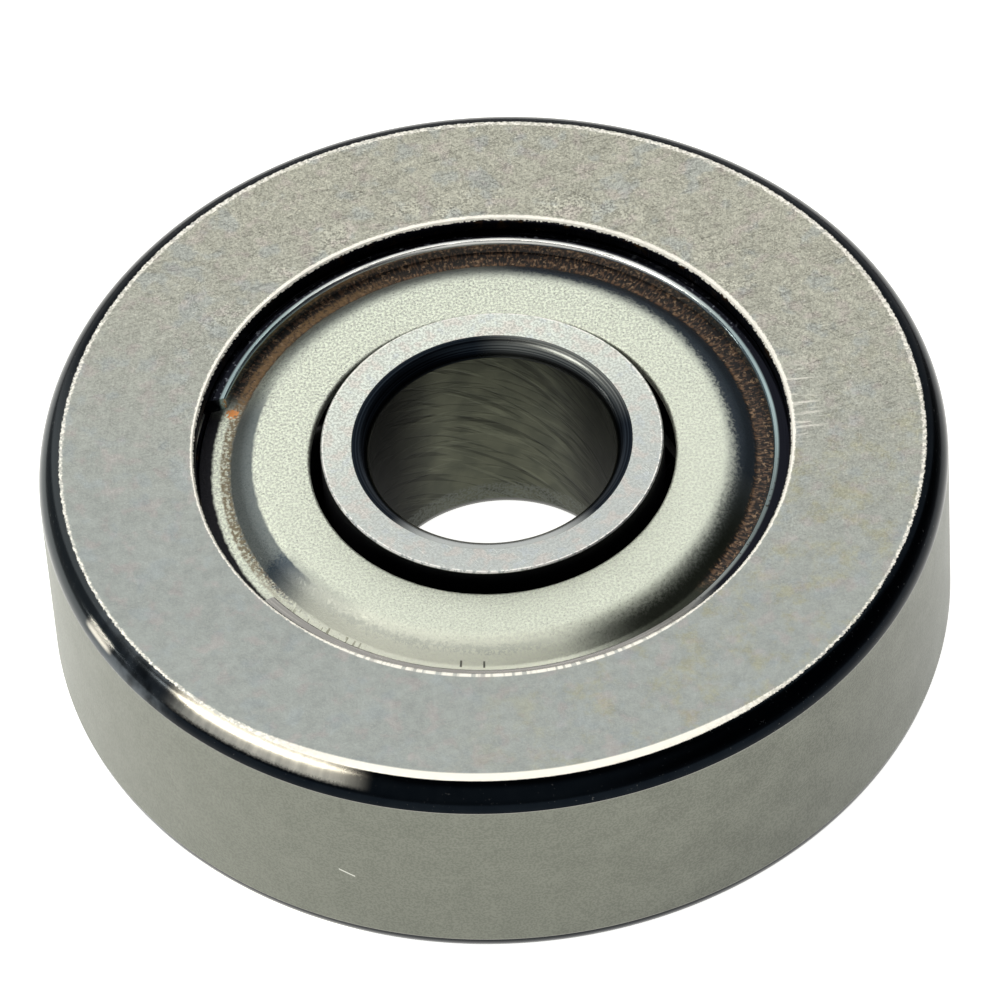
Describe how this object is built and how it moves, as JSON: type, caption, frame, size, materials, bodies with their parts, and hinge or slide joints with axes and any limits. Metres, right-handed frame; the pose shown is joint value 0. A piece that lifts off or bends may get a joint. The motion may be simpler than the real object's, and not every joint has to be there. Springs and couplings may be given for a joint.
{
  "type": "yoke-type cam follower",
  "caption": "Yoke-type cam follower: a thick cylindrical roller on a double-shielded deep-groove ball bearing with a plain bore.",
  "frame": {"origin": "centre of the bore at mid-width", "axes": "+Z along the bore's axis, out of the side whose snap-ring gap is centred near 191 degrees from +X towards +Y"},
  "size_m": [0.022, 0.022, 0.006],
  "materials": {
    "ring_steel": "fine ground",
    "ball_steel": "lapped and polished",
    "cage_strip": "pressed strip, satin",
    "rivet_steel": "upset, satin",
    "shield_sheet": "matt plated sheet",
    "spring_wire": "drawn, bright"
  },
  "bodies": {
    "inner_ring": {"inner_ring": "ring_steel"},
    "outer_ring": {"outer_ring": "ring_steel", "shield_top": "shield_sheet", "shield_bottom": "shield_sheet", "snap_ring_top": "spring_wire", "snap_ring_bottom": "spring_wire"},
    "cage": {"cage_upper_half": "cage_strip", "cage_lower_half": "cage_strip", "cage_rivets": "rivet_steel"},
    "ball_1": {"ball_1": "ball_steel"},
    "ball_2": {"ball_2": "ball_steel"},
    "ball_3": {"ball_3": "ball_steel"},
    "ball_4": {"ball_4": "ball_steel"},
    "ball_5": {"ball_5": "ball_steel"},
    "ball_6": {"ball_6": "ball_steel"},
    "ball_7": {"ball_7": "ball_steel"}
  },
  "joints": [
    {"name": "outer_ring_spin", "type": "hinge", "parent": "inner_ring", "child": "outer_ring", "pos_m": [0, 0, 0], "axis": [0, 0, 1], "continuous": true},
    {"name": "cage_spin", "type": "hinge", "parent": "inner_ring", "child": "cage", "pos_m": [0, 0, 0], "axis": [0, 0, 1], "continuous": true},
    {"name": "ball_1_spin", "type": "hinge", "parent": "cage", "child": "ball_1", "pos_m": [0.0054, 0, 0], "axis": [0, 0, 1], "continuous": true},
    {"name": "ball_2_spin", "type": "hinge", "parent": "cage", "child": "ball_2", "pos_m": [0.00337, 0.00422, 0], "axis": [0, 0, 1], "continuous": true},
    {"name": "ball_3_spin", "type": "hinge", "parent": "cage", "child": "ball_3", "pos_m": [-0.0012, 0.00526, 0], "axis": [0, 0, 1], "continuous": true},
    {"name": "ball_4_spin", "type": "hinge", "parent": "cage", "child": "ball_4", "pos_m": [-0.00487, 0.00234, 0], "axis": [0, 0, 1], "continuous": true},
    {"name": "ball_5_spin", "type": "hinge", "parent": "cage", "child": "ball_5", "pos_m": [-0.00487, -0.00234, 0], "axis": [0, 0, 1], "continuous": true},
    {"name": "ball_6_spin", "type": "hinge", "parent": "cage", "child": "ball_6", "pos_m": [-0.0012, -0.00526, 0], "axis": [0, 0, 1], "continuous": true},
    {"name": "ball_7_spin", "type": "hinge", "parent": "cage", "child": "ball_7", "pos_m": [0.00337, -0.00422, 0], "axis": [0, 0, 1], "continuous": true}
  ],
  "couplings": [
    {"joint": "cage_spin", "follows": "outer_ring_spin", "ratio": 0.64699},
    {"joint": "ball_1_spin", "follows": "outer_ring_spin", "ratio": 1.5538},
    {"joint": "ball_2_spin", "follows": "outer_ring_spin", "ratio": 1.5538},
    {"joint": "ball_3_spin", "follows": "outer_ring_spin", "ratio": 1.5538},
    {"joint": "ball_4_spin", "follows": "outer_ring_spin", "ratio": 1.5538},
    {"joint": "ball_5_spin", "follows": "outer_ring_spin", "ratio": 1.5538},
    {"joint": "ball_6_spin", "follows": "outer_ring_spin", "ratio": 1.5538},
    {"joint": "ball_7_spin", "follows": "outer_ring_spin", "ratio": 1.5538}
  ]
}
